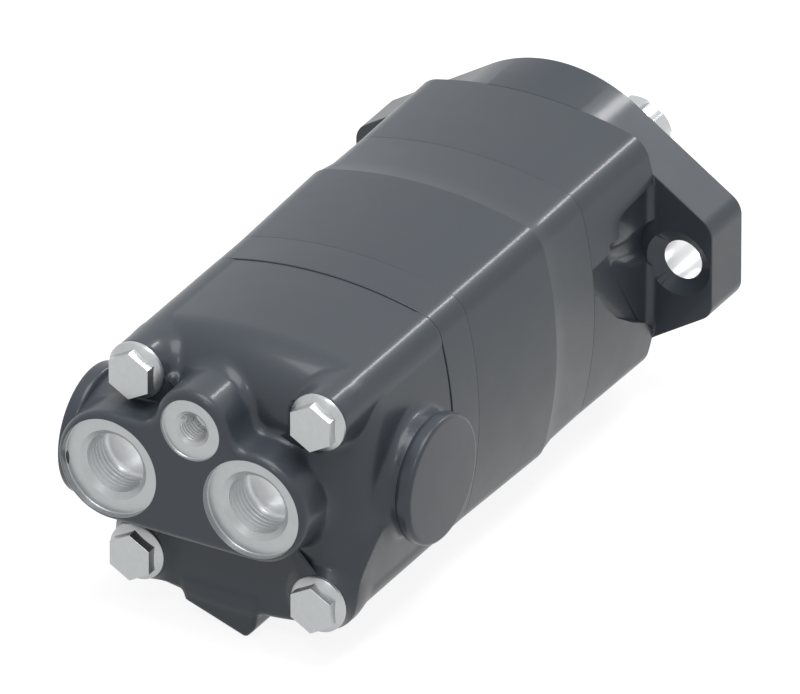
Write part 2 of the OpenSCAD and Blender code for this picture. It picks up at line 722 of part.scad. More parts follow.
module valve_housing() {
    cavity_l = s_balance + balance_t + seal_cord - s_valve;
    color(paint) in_motor() difference() {
        union() {
            rolled_core();
            at_ties() translate([0, 0, s_valve]) cylinder(h = s_bolt - s_valve, r = corner_r);
            port_boss();
            side_boss(s_valve + side_boss_s);
            mirror([1, 0, 0]) side_boss(s_valve + rear_boss_s);
            lug();
        }
        translate([0, 0, s_valve - eps])
            cylinder(h = cavity_l - balance_step_h, r = cavity_r, $fn = 120);
        translate([0, 0, s_valve]) cylinder(h = cavity_l, r = balance_step_r + 0.3);
        translate([0, 0, s_valve]) cylinder(h = cavity_l + 6, r = balance_bore_r - 2);
        for (a = pin_angles) rotate([0, 0, a]) translate([pin_circle_r, 0, s_valve + cavity_l - 1])
            cylinder(h = pin_reach + 1.2, d = pin_d + 0.1);
        for (p = [left_port, right_port])
            port_cut(p, port_spot_d, port_spot_depth, port_chamfer_d, port_core_d, port_depth);
        port_cut(drain_port, drain_spot_d, drain_spot_depth, drain_chamfer_d, drain_core_d, drain_depth);
        passage(left_port, 0.9, passage_d, s_valve + cavity_l - 8, s_port - port_depth + 1);
        passage(right_port, 0.6, passage_d, s_valve + cavity_l + 2, s_port - port_depth + 1);
        passage(drain_port, 0.96, drain_passage_d, s_valve + cavity_l - 2, s_port - drain_depth + 1);
        tie_holes(s_valve - 1, s_bolt + 1);
    }
}

module section_seals() {
    color(rubber) in_motor() {
        seal_ring(s_wear, seal_h);
        seal_ring(s_ring - seal_h, seal_h);
        seal_ring(s_plate, seal_h);
        seal_ring(s_valve - seal_h, seal_h);
    }
}

// Flange-head tie bolt standing at the origin, its seat at z = 0 and its shank along -z
module tie_bolt() {
    shank = s_bolt - s_wear + tie_thread_l;
    cone_h = (tie_flange_d - tie_af / cos(30)) / 2 * 0.6;
    cylinder(h = tie_head_h, d = tie_af / cos(30), $fn = 6);
    cylinder(h = tie_flange_t, d = tie_flange_d);
    translate([0, 0, tie_flange_t]) cylinder(h = cone_h, d1 = tie_flange_d, d2 = tie_af / cos(30) - 1);
    translate([0, 0, -shank]) cylinder(h = shank + 1, d = tie_d);
}
module tie_bolts() {
    color(steel) in_motor() at_ties() translate([0, 0, s_bolt]) rotate([0, 0, 30]) tie_bolt();
}

// Shaft seals, from the outside inwards
module dust_seal() {
    color(rubber) in_motor() translate([0, 0, -pilot_h]) difference() {
        cylinder(h = dust_w, d = dust_od);
        translate([0, 0, -1]) cylinder(h = dust_w + 2, d = seal_journal_d + 0.1);
    }
}
module shaft_seal() {
    color(rubber) in_motor() difference() {
        cylinder(h = seal_w_ax, d = seal_od);
        translate([0, 0, -1]) cylinder(h = seal_w_ax + 2, d = seal_journal_d + 0.1);
        translate([0, 0, 2]) difference() {
            cylinder(h = seal_w_ax, d = seal_od - 4);
            cylinder(h = seal_w_ax, d = seal_journal_d + 4);
        }
    }
}
washer_t = 1.4;
module seal_backup_washer() {
    color(steel) in_motor() translate([0, 0, seal_w_ax]) difference() {
        cylinder(h = washer_t, d = seal_od - 0.1);
        translate([0, 0, -1]) cylinder(h = washer_t + 2, d = seal_journal_d + 0.6);
    }
}

// Output shaft: six-tooth spline outside, bearing seats inside, and a bell with an internal spline
lock_t = 1.4;
lock_rim = 3;
lock_groove = 2.4;
s_bell = rear_s + bearing_w;
collar_t = 2.5;
collar_rim = 8;
spacer_rim = 4;
journal_l = 12;
shaft_chamfer = 1.6;
shoulder_l = 4;
module output_shaft() {
    color(steel) in_motor() difference() {
        union() {
            intersection() {
                translate([0, 0, -shaft_reach]) union() {
                    cylinder(h = shaft_reach, d = spline_root_d);
                    for (i = [0:2]) rotate([0, 0, 30 + 60 * i])
                        translate([-spline_d / 2, -spline_tooth_w / 2, 0])
                            cube([spline_d, spline_tooth_w, spline_l]);
                }
                translate([0, 0, -shaft_reach]) union() {
                    cylinder(h = shaft_chamfer, d1 = spline_d - 2 * shaft_chamfer, d2 = spline_d);
                    translate([0, 0, shaft_chamfer]) cylinder(h = shaft_reach - shaft_chamfer, d = spline_d);
                }
            }
            translate([0, 0, spline_l - shaft_reach - shaft_chamfer])
                cylinder(h = shaft_reach - spline_l + shaft_chamfer + 1, d = spline_d);
            translate([0, 0, -journal_l - shoulder_l])
                cylinder(h = shoulder_l, d1 = spline_d, d2 = seal_journal_d);
            translate([0, 0, -journal_l]) cylinder(h = front_s + journal_l, d = seal_journal_d);
            translate([0, 0, front_s]) cylinder(h = rear_s - front_s + 1, d = front_bore_d);
            translate([0, 0, rear_s]) cylinder(h = s_bell + collar_t - rear_s, d = rear_bore_d);
            translate([0, 0, s_bell]) cylinder(h = collar_t, d = rear_bore_d + collar_rim);
        }
        translate([0, 0, front_s - lock_t - 0.1]) difference() {
            cylinder(h = lock_t + 0.1, d = seal_journal_d + 1);
            translate([0, 0, -1]) cylinder(h = lock_t + 3, d = seal_journal_d - lock_groove);
        }
        translate([0, 0, rear_s - 1]) spline_bore(main_spline_d, s_bell + collar_t - rear_s + 2);
        translate([0, 0, rear_s - shoulder_l])
            cylinder(h = shoulder_l + 1, d = main_spline_d - 2 * drive_tooth_h);
    }
}
module shaft_lock_ring() {
    color(steel) in_motor() translate([0, 0, front_s - lock_t - 0.05]) difference() {
        cylinder(h = lock_t, d = front_bore_d + lock_rim);
        translate([0, 0, -1]) cylinder(h = lock_t + 2, d = seal_journal_d - lock_groove + 0.1);
        translate([0, -2, -1]) cube([front_bore_d, 4, lock_t + 2]);
    }
}
module bearing_spacer() {
    color(steel) in_motor() translate([0, 0, front_s + bearing_w]) difference() {
        cylinder(h = rear_s - front_s - bearing_w, d = rear_bore_d + spacer_rim);
        translate([0, 0, -1]) cylinder(h = rear_s - front_s, d = front_bore_d);
    }
}

// Tapered roller bearing, worked out in the half plane of radius and station
race_play = 0.04;
roller_tilt = 12;
roller_len = 11;
function mid_r(bore_d, od) = (bore_d + od) / 4 + 0.4;
function taper_small(bore_d, od) = (od - bore_d) / 2 * 0.225;
function taper_big(bore_d, od) = taper_small(bore_d, od) * 1.22;
// Point beside the roller's axis: along it by a, across it by b; flip is 1 where radius grows rearwards
function beside(bore_d, od, flip, a, b) =
    let (u = [sin(roller_tilt), flip * cos(roller_tilt)], n = [cos(roller_tilt), -flip * sin(roller_tilt)])
    [mid_r(bore_d, od), bearing_w / 2] + a * u + b * n;

module bearing_cup(bore_d, od, flip) {
    l = roller_len / 2 + 4.5;
    slope = (taper_big(bore_d, od) - taper_small(bore_d, od)) / roller_len;
    mean = (taper_big(bore_d, od) + taper_small(bore_d, od)) / 2 + race_play;
    p = beside(bore_d, od, flip, -l, mean - slope * l);
    q = beside(bore_d, od, flip, l, mean + slope * l);
    rotate_extrude() intersection() {
        square([od / 2, bearing_w - 0.5]);
        polygon([p, q, [od, q[1]], [od, p[1]]]);
    }
}

module bearing_cone(bore_d, od, flip) {
    l = roller_len / 2 + 0.3;
    rib = 1.1;
    small = taper_small(bore_d, od) + race_play;
    big = taper_big(bore_d, od) + race_play;
    p = beside(bore_d, od, flip, -l, -small);
    p2 = beside(bore_d, od, flip, -l, -small + rib);
    q = beside(bore_d, od, flip, l, -big);
    q2 = beside(bore_d, od, flip, l, -big + rib);
    ends = flip > 0 ? [0, bearing_w] : [bearing_w, 0];
    rotate_extrude() polygon([[bore_d / 2, ends[0]], [p2[0], ends[0]], p2, p, q, q2, [q2[0], ends[1]],
        [bore_d / 2, ends[1]]]);
}

module taper_roller(bore_d, od, flip, play = 0) {
    turn = flip > 0 ? roller_tilt : 180 - roller_tilt;
    translate([mid_r(bore_d, od), 0, bearing_w / 2]) rotate([0, turn, 0])
        translate([0, 0, -roller_len / 2 - play]) cylinder(h = roller_len + 2 * play,
            r1 = taper_small(bore_d, od) + play, r2 = taper_big(bore_d, od) + play, $fn = 32);
}

module roller_set(bore_d, od, flip, count) {
    thin = 0.55;
    l = roller_len / 2 + 1.3;
    difference() {
        rotate_extrude() polygon([beside(bore_d, od, flip, -l, -thin), beside(bore_d, od, flip, l, -thin),
            beside(bore_d, od, flip, l, thin), beside(bore_d, od, flip, -l, thin)]);
        for (i = [0:count - 1]) rotate([0, 0, 360 / count * i]) taper_roller(bore_d, od, flip, 0.15);
    }
    for (i = [0:count - 1]) rotate([0, 0, 360 / count * i]) taper_roller(bore_d, od, flip);
}

module front_bearing_cup() {
    color(bearing_steel) in_motor() translate([0, 0, front_s]) bearing_cup(front_bore_d, front_od, 1);
}
module front_bearing_cone() {
    color(bearing_steel) in_motor() translate([0, 0, front_s]) bearing_cone(front_bore_d, front_od, 1);
}
module front_bearing_rollers() {
    color(bearing_steel) in_motor() translate([0, 0, front_s])
        roller_set(front_bore_d, front_od, 1, front_rollers);
}
module rear_bearing_cup() {
    color(bearing_steel) in_motor() translate([0, 0, rear_s]) bearing_cup(rear_bore_d, rear_od, -1);
}
module rear_bearing_cone() {
    color(bearing_steel) in_motor() translate([0, 0, rear_s]) bearing_cone(rear_bore_d, rear_od, -1);
}
module rear_bearing_rollers() {
    color(bearing_steel) in_motor() translate([0, 0, rear_s])
        roller_set(rear_bore_d, rear_od, -1, rear_rollers);
}

bearing_housing();
wear_plate();
geroler_ring();
valve_plate();
valve_housing();
tie_bolts();
section_seals();
dust_seal();
shaft_seal();
seal_backup_washer();
output_shaft();
shaft_lock_ring();
bearing_spacer();
front_bearing_cup();
front_bearing_cone();
front_bearing_rollers();
rear_bearing_cup();
rear_bearing_cone();
rear_bearing_rollers();
main_drive();
drive_spacer();
valve_drive();
star();
roller_1();
roller_2();
roller_3();
roller_4();
roller_5();
roller_6();
roller_7();
disc_valve();
balance_ring();
balance_inner_seal();
balance_outer_seal();
balance_springs();
balance_pins();
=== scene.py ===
import json
import math
import bpy
import numpy as np
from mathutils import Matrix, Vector

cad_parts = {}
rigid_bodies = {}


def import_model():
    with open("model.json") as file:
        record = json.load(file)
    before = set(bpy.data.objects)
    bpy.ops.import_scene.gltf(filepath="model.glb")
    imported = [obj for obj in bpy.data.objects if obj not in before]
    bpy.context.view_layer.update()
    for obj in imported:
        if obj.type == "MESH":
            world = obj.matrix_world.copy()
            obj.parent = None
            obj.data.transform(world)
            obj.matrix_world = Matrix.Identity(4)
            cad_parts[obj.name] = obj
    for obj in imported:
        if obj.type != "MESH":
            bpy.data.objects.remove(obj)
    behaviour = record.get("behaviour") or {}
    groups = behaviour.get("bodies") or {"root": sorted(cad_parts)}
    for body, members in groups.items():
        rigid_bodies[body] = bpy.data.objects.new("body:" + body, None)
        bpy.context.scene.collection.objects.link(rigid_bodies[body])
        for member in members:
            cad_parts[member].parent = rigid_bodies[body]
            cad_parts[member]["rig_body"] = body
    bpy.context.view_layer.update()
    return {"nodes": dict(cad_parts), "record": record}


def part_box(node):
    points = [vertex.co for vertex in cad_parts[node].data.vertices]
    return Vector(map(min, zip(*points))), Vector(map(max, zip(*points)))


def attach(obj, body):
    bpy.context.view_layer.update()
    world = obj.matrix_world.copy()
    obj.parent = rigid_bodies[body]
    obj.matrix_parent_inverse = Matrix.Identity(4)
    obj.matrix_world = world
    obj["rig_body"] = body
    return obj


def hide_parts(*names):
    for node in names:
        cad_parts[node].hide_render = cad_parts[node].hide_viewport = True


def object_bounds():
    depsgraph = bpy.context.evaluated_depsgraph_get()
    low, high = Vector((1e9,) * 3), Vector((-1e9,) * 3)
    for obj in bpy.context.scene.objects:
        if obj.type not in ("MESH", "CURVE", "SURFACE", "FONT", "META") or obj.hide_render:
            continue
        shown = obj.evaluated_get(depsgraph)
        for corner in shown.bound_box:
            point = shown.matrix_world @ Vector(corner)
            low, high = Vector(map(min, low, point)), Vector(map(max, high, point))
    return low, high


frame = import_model()

# Shape functions work in millimetres: x to the right, z up, and the station s behind the mounting face,
# so that a point of the frame is (x, -s, z) / 1000.
MM = 0.001


def near_station(node):
    """Station of the end of a CAD node that is nearer to the shaft."""
    return -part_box(node)[1].y / MM


def far_station(node):
    """Station of the end of a CAD node that is nearer to the ports."""
    return -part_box(node)[0].y / MM


# Stations of the seams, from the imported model
S_WEAR = near_station("wear_plate")
S_RING = near_station("geroler_ring")
S_PLATE = near_station("valve_plate")
S_VALVE = near_station("valve_housing")
S_PORT = far_station("valve_housing")
PORT_BOSS_H = 15.1
S_REAR = S_PORT - PORT_BOSS_H
BOLT_BOSS_H = 2.0
S_BOLT = S_REAR + BOLT_BOSS_H
PILOT_H = -near_station("bearing_housing")

# The body's rounded square section
CROWN_R = 46.4
BULGE_R = 140.0
TIE_HALF = 32.95
CORNER_R = BULGE_R - math.hypot(TIE_HALF, TIE_HALF + BULGE_R - CROWN_R)
CORNER_SLOPE = TIE_HALF / (TIE_HALF + BULGE_R - CROWN_R)
BOSS_R = 9.6
ROLL_R = 20.0
REAR_EDGE = 2.5
TIES = [(x, z) for x in (-TIE_HALF, TIE_HALF) for z in (-TIE_HALF, TIE_HALF)]

# Mounting flange
FLANGE_T = 19.5
FLANGE_W = 130.8
FLANGE_MID_R = 49.0
FLANGE_CORNER_R = 7.0
FLANGE_CORNER_Z = 12.0
PILOT_R = 41.275
MOUNT_HALF = 53.2
MOUNT_HOLE_R = 6.8
MOUNT_DISH_R = 11.4
MOUNT_DISH_H = 3.2

# Middle sections
SEAM_EDGE = 0.35
FINE_EDGE = 0.16
WEAR_BEVEL = 9.0
RING_GROW = 1.5
PROUD = 0.3
WEAR_BORE_R = 18.0
VALVE_PLATE_BORE_R = 12.0
GEROLER_BORE_R = 33.85
ROLLERS = 7
ROLLER_CIRCLE_R = 33.5
ROLLER_POCKET_R = 6.04

# Tie bolts, their clearance holes and the threads that they end in
TIE_AF = 14.29
TIE_HEAD_H = 6.1
TIE_HEAD_EDGE = 0.12
TIE_FLANGE_R = 9.75
TIE_FLANGE_T = 1.6
TIE_FLANGE_EDGE = 0.3
TIE_CONE_SLOPE = 0.42
TIE_SHANK_R = 4.765
TIE_TIP_R = 3.6
TIE_TIP_L = 1.5
TIE_GRIP = 26.0
TIE_L = S_BOLT - S_WEAR + TIE_GRIP
TIE_HOLE_R = 5.1
TIE_CORE_R = 4.8
TIE_THREAD_L = 29.0

# Stepped bores: each step's radius and the station at which it ends
HOUSING_BORE = [(21.0, -PILOT_H + 3.0), (18.0, 0.0), (24.0, 11.5), (31.0, 37.5), (36.5, S_WEAR + 1.0)]
VALVE_CAVITY = [(36.6, S_VALVE + 22.3), (28.3, S_VALVE + 27.3), (13.8, S_VALVE + 33.0)]

# A small radius at which a lathed piece starts, so that its end closes by a fan
CORE_R = 0.5

# Rear ports: their centres, and of each form the radii of spotface, chamfer and thread core, the depth of the
# spotface and the depth of the thread
LEFT_PORT = (-36.1, 2.3)
RIGHT_PORT = (15.5, 2.3)
DRAIN_PORT = (-6.5, 24.6)
PORT_LOBE_R = 19.2
DRAIN_LOBE_R = 13.4
PORT_LOBE_BLEND = 7.0
PORT_FORM = (17.25, 12.2, 10.25, 2.6, 16.0)
DRAIN_FORM = (10.65, 6.2, 4.95, 1.2, 12.0)
CHAMFER_SLOPE = 0.8
PORT_PITCH = 1.8
DRAIN_PITCH = 1.27
THREAD_DEPTH = 0.3

# Side bosses: side, station, radius of the disc
NECK_R = 19.8
NECK_REACH = 51.5
SIDE_BOSS_REACH = 56.7
SIDE_BOSSES = [(1, S_VALVE + 24.0, 21.6), (-1, S_VALVE + 49.7, 21.6)]


def smooth_step(v, low, high):
    """Cubic step from 0 at low to 1 at high."""
    t = np.clip((v - low) / (high - low), 0, 1)
    return t * t * (3 - 2 * t)


def round_max(a, b, r):
    """Both fields together, their common outer edge rounded to radius r."""
    return np.minimum(np.maximum(a, b), -r) + np.hypot(np.maximum(a + r, 0), np.maximum(b + r, 0))


def round_min(a, b, r):
    """Either field, with a concave fillet of radius r where they meet."""
    return np.maximum(np.minimum(a, b), r) - np.hypot(np.maximum(r - a, 0), np.maximum(r - b, 0))


def big_arcs(x, z, grow=0.0):
    """Distances from the section's big arcs at the sides, and from those at the top and bottom."""
    side = np.hypot(np.abs(x) + BULGE_R - CROWN_R, z) - BULGE_R - grow
    top = np.hypot(x, np.abs(z) + BULGE_R - CROWN_R) - BULGE_R - grow
    return side, top


def section(x, z, grow=0.0):
    """Distance from the body's section: four big arcs, joined round each tie bolt by the circle that touches
    both of its arcs."""
    side, top = big_arcs(x, z, grow)
    u, v = np.abs(x) - TIE_HALF, np.abs(z) - TIE_HALF
    corner = (v > u * CORNER_SLOPE) & (u > v * CORNER_SLOPE)
    return np.where(corner, np.hypot(u, v) - CORNER_R - grow, np.maximum(side, top))


def reach_of(plane_field, turns, pole, far=90.0):
    """Distance from the pole at which a plane field changes sign, for each angle, by bisection."""
    low, high = np.zeros_like(turns), np.full_like(turns, far)
    for _ in range(40):
        mid = (low + high) / 2
        outside = plane_field(pole[0] + mid * np.cos(turns), pole[1] + mid * np.sin(turns)) > 0
        high = np.where(outside, mid, high)
        low = np.where(outside, low, mid)
    return (low + high) / 2


def build(name, points, faces, materials, sharp=35):
    """A mesh object from points in millimetres, its faces turned outwards, smooth up to the sharp angle."""
    xyz = np.column_stack([points[:, 0], -points[:, 2], points[:, 1]]) * MM
    mesh = bpy.data.meshes.new(name)
    mesh.from_pydata(xyz, [], faces)
    mesh.calc_loop_triangles()
    corner = np.zeros(len(mesh.loop_triangles) * 3, np.int32)
    mesh.loop_triangles.foreach_get("vertices", corner)
    a, b, c = (xyz[corner.reshape(-1, 3)[:, k]] for k in range(3))
    if np.einsum("ij,ij->i", a, np.cross(b, c)).sum() < 0:
        mesh.flip_normals()
    mesh.polygons.foreach_set("use_smooth", np.ones(len(mesh.polygons), bool))
    mesh.set_sharp_from_angle(angle=math.radians(sharp))
    for m in materials:
        mesh.materials.append(m)
    piece = bpy.data.objects.new(name, mesh)
    bpy.context.scene.collection.objects.link(piece)
    return piece


def ring_faces(rows, cols, loop):
    """Quads of rings of points; the ends are closed by fans to two more points, or the rows form a loop."""
    r = np.arange(rows if loop else rows - 1)[:, None]
    c = np.arange(cols)[None, :]
    nr, nc = (r + 1) % rows, (c + 1) % cols
    quads = np.stack(np.broadcast_arrays(r * cols + c, r * cols + nc, nr * cols + nc, nr * cols + c), -1)
    faces = quads.reshape(-1, 4).tolist()
    if not loop:
        k = np.arange(cols)
        n = (k + 1) % cols
        start, end, last = rows * cols, rows * cols + 1, (rows - 1) * cols
        faces += np.stack([n, k, np.full(cols, start)], -1).tolist()
        faces += np.stack([last + k, last + n, np.full(cols, end)], -1).tolist()
    return faces


def rings_piece(name, rings, materials, loop=False, sharp=35):
    """A closed piece from rings of points, an array (rows, columns, 3)."""
    rows, cols = rings.shape[:2]
    points = rings.reshape(-1, 3)
    if not loop:
        points = np.vstack([points, rings[0].mean(0), rings[-1].mean(0)])
    return build(name, points, ring_faces(rows, cols, loop), materials, sharp)


# Search along a ray: steps, and then halvings of the step that holds the root
MARCH_STEPS = 26
HALVINGS = 12


def fan_rings(field, pole, turns, guide, origins, rows, back=16.0, ahead=14.0, turn_weight=2.5):
    """Rings of points on a field's zero surface. In each half plane through the pole's axis, rays run from
    stations on the axis through guide points, and a root is found on each. The curve of roots is divided
    again by its arc length plus its turning, so that edges and fillets get more rings."""
    rho, s = guide
    start = np.broadcast_to(origins, rho.shape)
    way = np.stack([rho, s - start])
    length = np.hypot(*way)
    way = way / np.maximum(length, 1e-9)
    cos, sin = np.cos(turns)[None, :], np.sin(turns)[None, :]

    def value(t):
        r = t * way[0]
        return field(pole[0] + r * cos, pole[1] + r * sin, start + t * way[1])

    low = np.maximum(length - back, 0.05)
    high = low.copy()
    found = np.zeros(low.shape, bool)
    previous = length + ahead
    for k in range(1, MARCH_STEPS + 1):
        t = np.maximum(length + ahead - (back + ahead) * k / MARCH_STEPS, 0.05)
        inside = value(t) <= 0
        new = inside & ~found
        low = np.where(new, t, low)
        high = np.where(new, previous, high)
        found |= inside
        previous = t
    for _ in range(HALVINGS):
        mid = (low + high) / 2
        outside = value(mid) > 0
        high = np.where(outside, mid, high)
        low = np.where(outside, low, mid)
    t = (low + high) / 2
    r, st = t * way[0], start + t * way[1]
    dr, ds = np.diff(r, axis=0), np.diff(st, axis=0)
    step = np.hypot(dr, ds)
    angle = np.arctan2(ds, dr)
    bend = np.abs((np.diff(angle, axis=0) + np.pi) % (2 * np.pi) - np.pi)
    bend = np.where((step[1:] > 0.01) & (step[:-1] > 0.01), bend, 0)
    measure = step.copy()
    measure[1:] += turn_weight * bend / 2
    measure[:-1] += turn_weight * bend / 2
    for _ in range(2):
        measure = sum(np.roll(measure, k, 1) for k in range(-4, 5)) / 9
    key = np.vstack([np.zeros(r.shape[1]), np.cumsum(measure, axis=0)])
    key = key / key[-1]
    column = 2.0 * np.arange(r.shape[1])[:, None]
    wanted = (np.linspace(0, 1, rows)[None, :] + column).ravel()
    have = (key.T + column).ravel()
    r = np.interp(wanted, have, r.T.ravel()).reshape(-1, rows).T
    st = np.interp(wanted, have, st.T.ravel()).reshape(-1, rows).T
    return np.stack([pole[0] + r * cos, pole[1] + r * sin, st], -1)


def guide_line(corners, counts):
    """Guide points (distance from the pole, station) on straight stretches between corners, which vary by
    angle."""
    rho, s = [], []
    for (r0, s0), (r1, s1), n in zip(corners, corners[1:], counts):
        t = np.linspace(0, 1, n, endpoint=False)[:, None]
        rho.append(r0 + (r1 - r0) * t)
        s.append(s0 + (s1 - s0) * t + 0 * (r0 + r1))
    r1, s1 = corners[-1]
    rho.append(np.atleast_2d(r1 + 0 * rho[0][0]))
    s.append(np.atleast_2d(s1 + 0 * s[0][0]))
    return np.vstack(rho), np.vstack(s)


def apply_modifiers(piece):
    """Makes what the modifiers give the piece's own mesh."""
    graph = bpy.context.evaluated_depsgraph_get()
    mesh = bpy.data.meshes.new_from_object(piece.evaluated_get(graph))
    piece.modifiers.clear()
    piece.data = mesh
    mesh.name = piece.name


def settle_normals(piece):
    """Weights each corner's normal by the faces' areas, so that flat faces stay flat up to a rounding."""
    weigh = piece.modifiers.new("weigh", "WEIGHTED_NORMAL")
    weigh.keep_sharp = True
    apply_modifiers(piece)
    return piece


def carve(piece, *cutters):
    """Cuts closed pieces out of another one; their materials stay on the cut faces."""
    for cutter in cutters:
        cut = piece.modifiers.new("cut", "BOOLEAN")
        cut.object = cutter
        cut.operation = "DIFFERENCE"
        cut.solver = "EXACT"
        cut.material_mode = "TRANSFER"
    apply_modifiers(piece)
    for cutter in cutters:
        bpy.data.objects.remove(cutter)
    piece.data.polygons.foreach_set("use_smooth", np.ones(len(piece.data.polygons), bool))
    piece.data.set_sharp_from_angle(angle=math.radians(32))
    return settle_normals(piece)


# A turn of every lathed piece for each of its columns, so that no corner of a cutter falls on an edge of the
# piece that it cuts
LATHE_TURN = 0.0137


def lathe_rings(profile, centre, n=96):
    """Rings round an axis along the stations: profile is a list of (radius, station)."""
    turn = np.linspace(0, 2 * np.pi, n, endpoint=False) + LATHE_TURN * n
    p = np.array(profile, float)
    return np.stack([centre[0] + p[:, :1] * np.cos(turn), centre[1] + p[:, :1] * np.sin(turn),
                     np.repeat(p[:, 1:], n, 1)], -1)


def round_profile(corners, steps=6):
    """A profile with rounded corners: corners are (radius, station, rounding), joined by quadratic arcs."""
    p = np.array([c[:2] for c in corners], float)
    out = [p[0]]
    for k in range(1, len(p) - 1):
        r = corners[k][2]
        if r <= 0:
            out.append(p[k])
            continue
        before, after = p[k - 1] - p[k], p[k + 1] - p[k]
        a = p[k] + before / np.linalg.norm(before) * r
        b = p[k] + after / np.linalg.norm(after) * r
        for t in np.linspace(0, 1, steps):
            out.append((1 - t) ** 2 * a + 2 * t * (1 - t) * p[k] + t * t * b)
    out.append(p[-1])
    return out


# Materials
def new_material(name):
    """A new material with nothing but its shader and output; returns it, its node tree and the shader."""
    m = bpy.data.materials.new(name)
    m.use_nodes = True
    tree = m.node_tree
    tree.nodes.clear()
    out = tree.nodes.new("ShaderNodeOutputMaterial")
    shader = tree.nodes.new("ShaderNodeBsdfPrincipled")
    tree.links.new(shader.outputs[0], out.inputs[0])
    return m, tree, shader


def noise(tree, scale, detail=4.0, stretch=None):
    """Noise on object coordinates, stretched along the axes if wanted."""
    coords = tree.nodes.new("ShaderNodeTexCoord")
    place = coords.outputs["Object"]
    if stretch:
        mapping = tree.nodes.new("ShaderNodeMapping")
        mapping.inputs["Scale"].default_value = stretch
        tree.links.new(place, mapping.inputs[0])
        place = mapping.outputs[0]
    n = tree.nodes.new("ShaderNodeTexNoise")
    n.inputs["Scale"].default_value = scale
    n.inputs["Detail"].default_value = detail
    tree.links.new(place, n.inputs["Vector"])
    return n.outputs["Fac"]


def spread(tree, value, low, high):
    """Maps a value from 0..1 to low..high."""
    m = tree.nodes.new("ShaderNodeMapRange")
    m.inputs["To Min"].default_value = low
    m.inputs["To Max"].default_value = high
    tree.links.new(value, m.inputs["Value"])
    return m.outputs[0]


def colour_mix(tree, value, a, b):
    """Colour between a and b by a value."""
    ramp = tree.nodes.new("ShaderNodeValToRGB")
    ramp.color_ramp.elements[0].color = (*a, 1)
    ramp.color_ramp.elements[1].color = (*b, 1)
    ramp.color_ramp.elements[0].position = 0.3
    ramp.color_ramp.elements[1].position = 0.7
    tree.links.new(value, ramp.inputs[0])
    return ramp.outputs[0]


def add_bump(tree, shader, value, strength, distance):
    """Bump of the given height on the shader."""
    b = tree.nodes.new("ShaderNodeBump")
    b.inputs["Strength"].default_value = strength
    b.inputs["Distance"].default_value = distance
    tree.links.new(value, b.inputs["Height"])
    tree.links.new(b.outputs[0], shader.inputs["Normal"])


def paint_material(name, colour, dark):
    """Gloss paint over a fine casting: a faint cloudy colour, fine orange peel, uneven gloss and a coat."""
    m, tree, shader = new_material(name)
    cloud = noise(tree, 30)
    tree.links.new(colour_mix(tree, cloud, dark, colour), shader.inputs["Base Color"])
    tree.links.new(spread(tree, noise(tree, 90, 3), 0.34, 0.46), shader.inputs["Roughness"])
    add_bump(tree, shader, noise(tree, 900, 3), 0.06, 0.0001)
    shader.inputs["Specular IOR Level"].default_value = 0.29
    shader.inputs["Coat Weight"].default_value = 0.25
    shader.inputs["Coat Roughness"].default_value = 0.14
    return m


def metal_material(name, colour, rough, scale, stretch, bump=0.05, metallic=1.0):
    """Machined or plated steel: fine lines along one direction, and gloss that varies along them."""
    m, tree, shader = new_material(name)
    shader.inputs["Metallic"].default_value = metallic
    grain = noise(tree, scale, 5, stretch)
    darker = tuple(0.93 * c for c in colour)
    tree.links.new(colour_mix(tree, grain, darker, colour), shader.inputs["Base Color"])
    tree.links.new(spread(tree, grain, rough * 0.8, rough * 1.2), shader.inputs["Roughness"])
    add_bump(tree, shader, grain, bump, 0.00005)
    return m


def rubber_material():
    """Matt black nitrile with a fine moulded texture."""
    m, tree, shader = new_material("nitrile")
    tree.links.new(colour_mix(tree, noise(tree, 400), (0.008, 0.008, 0.009), (0.02, 0.02, 0.021)),
                   shader.inputs["Base Color"])
    shader.inputs["Roughness"].default_value = 0.6
    add_bump(tree, shader, noise(tree, 1500), 0.15, 0.0001)
    return m


PAINT = paint_material("grey_paint", (0.047, 0.057, 0.070), (0.042, 0.052, 0.065))
BOLT_PLATE = metal_material("zinc_plate", (0.49, 0.505, 0.515), 0.36, 500, (1, 1, 1), metallic=0.85)
MACHINED = metal_material("machined_iron", (0.46, 0.475, 0.485), 0.36, 300, (1, 1, 1), metallic=0.8)
# Bores: machined iron with painted light. Its colour is far lighter than the machined faces', so the deep
# port bores and the mounting holes read as brightly lit.
BORE_PAINTED_LIGHT = metal_material("bore_painted_light", (0.80, 0.81, 0.82), 0.32, 240, (1, 0.15, 1))
SHAFT_STEEL = metal_material("shaft_steel", (0.58, 0.59, 0.60), 0.22, 700, (0.2, 3, 0.2))
BEARING_STEEL = metal_material("bearing_steel", (0.62, 0.63, 0.65), 0.2, 500, (1, 4, 1))
GROUND_STEEL = metal_material("ground_steel", (0.5, 0.51, 0.53), 0.28, 600, (1, 3, 1))
VALVE_IRON = metal_material("lapped_iron", (0.33, 0.34, 0.35), 0.4, 600, (1, 1, 1))
NITRILE = rubber_material()
SLOT_MATERIALS = {"painted_iron": PAINT, "plated_bolts": BOLT_PLATE, "seal_rubber": NITRILE,
                  "shaft_steel": SHAFT_STEEL, "bearing_steel": BEARING_STEEL, "ground_steel": GROUND_STEEL,
                  "valve_iron": VALVE_IRON}


def stands_for(piece, node):
    """The piece takes a CAD node's place and rides on its body."""
    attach(piece, frame["nodes"][node]["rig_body"])
    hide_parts(node)


# Valve housing
LUG = [(-17.9, -40.0), (-17.9, -47.7), (4.6, -55.3), (8.0, -51.5), (9.0, -40.0)]
LUG_L = 36.0
LUG_CORNER = 1.0
LUG_EDGE = 1.2
LUG_FILLET = 2.0
LUMP = (-21.6, 31.3)
LUMP_R = 2.0
LUMP_SUNK = 0.4
LUMP_FILLET = 1.0

